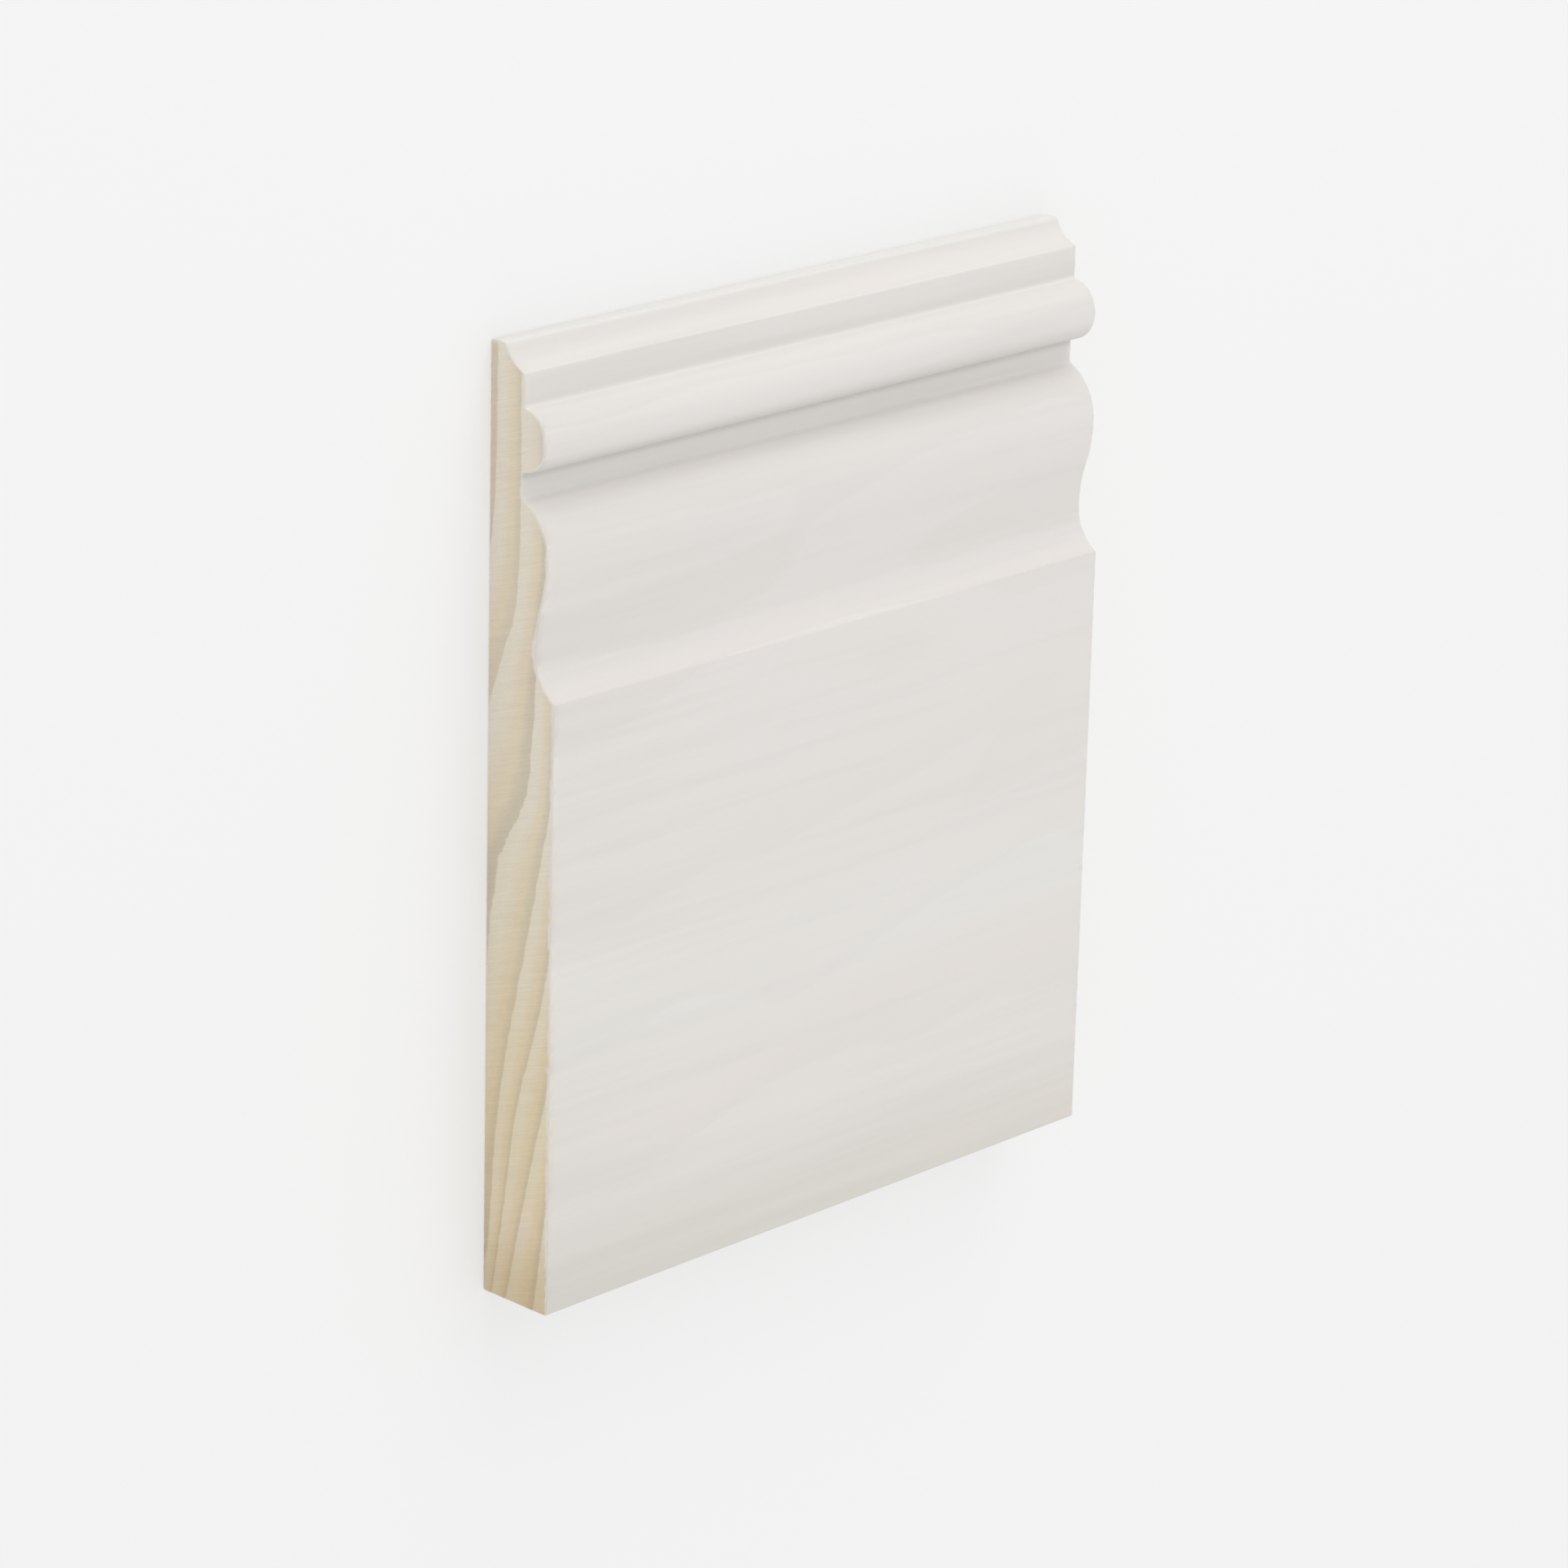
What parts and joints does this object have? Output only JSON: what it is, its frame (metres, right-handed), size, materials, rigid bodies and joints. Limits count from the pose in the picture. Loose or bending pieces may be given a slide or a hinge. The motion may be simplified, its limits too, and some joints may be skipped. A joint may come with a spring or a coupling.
{
  "type": "skirting board length",
  "caption": "Short length of tall white-finished pine skirting board with a bead and ogee moulding along its top edge and a plain flat face below, cut square at both ends.",
  "frame": {"origin": "middle of the flat back, which the piece lies on", "axes": "+X along the length, +Y up the face from the floor edge to the moulded top edge, +Z out of the face, away from the wall"},
  "size_m": [0.175, 0.219, 0.0205],
  "materials": {
    "skirting_board": "thin satin white coat over planed pine, bare sawn pine at both ends"
  },
  "bodies": {
    "root": {"skirting_board": "skirting_board"}
  },
  "joints": []
}
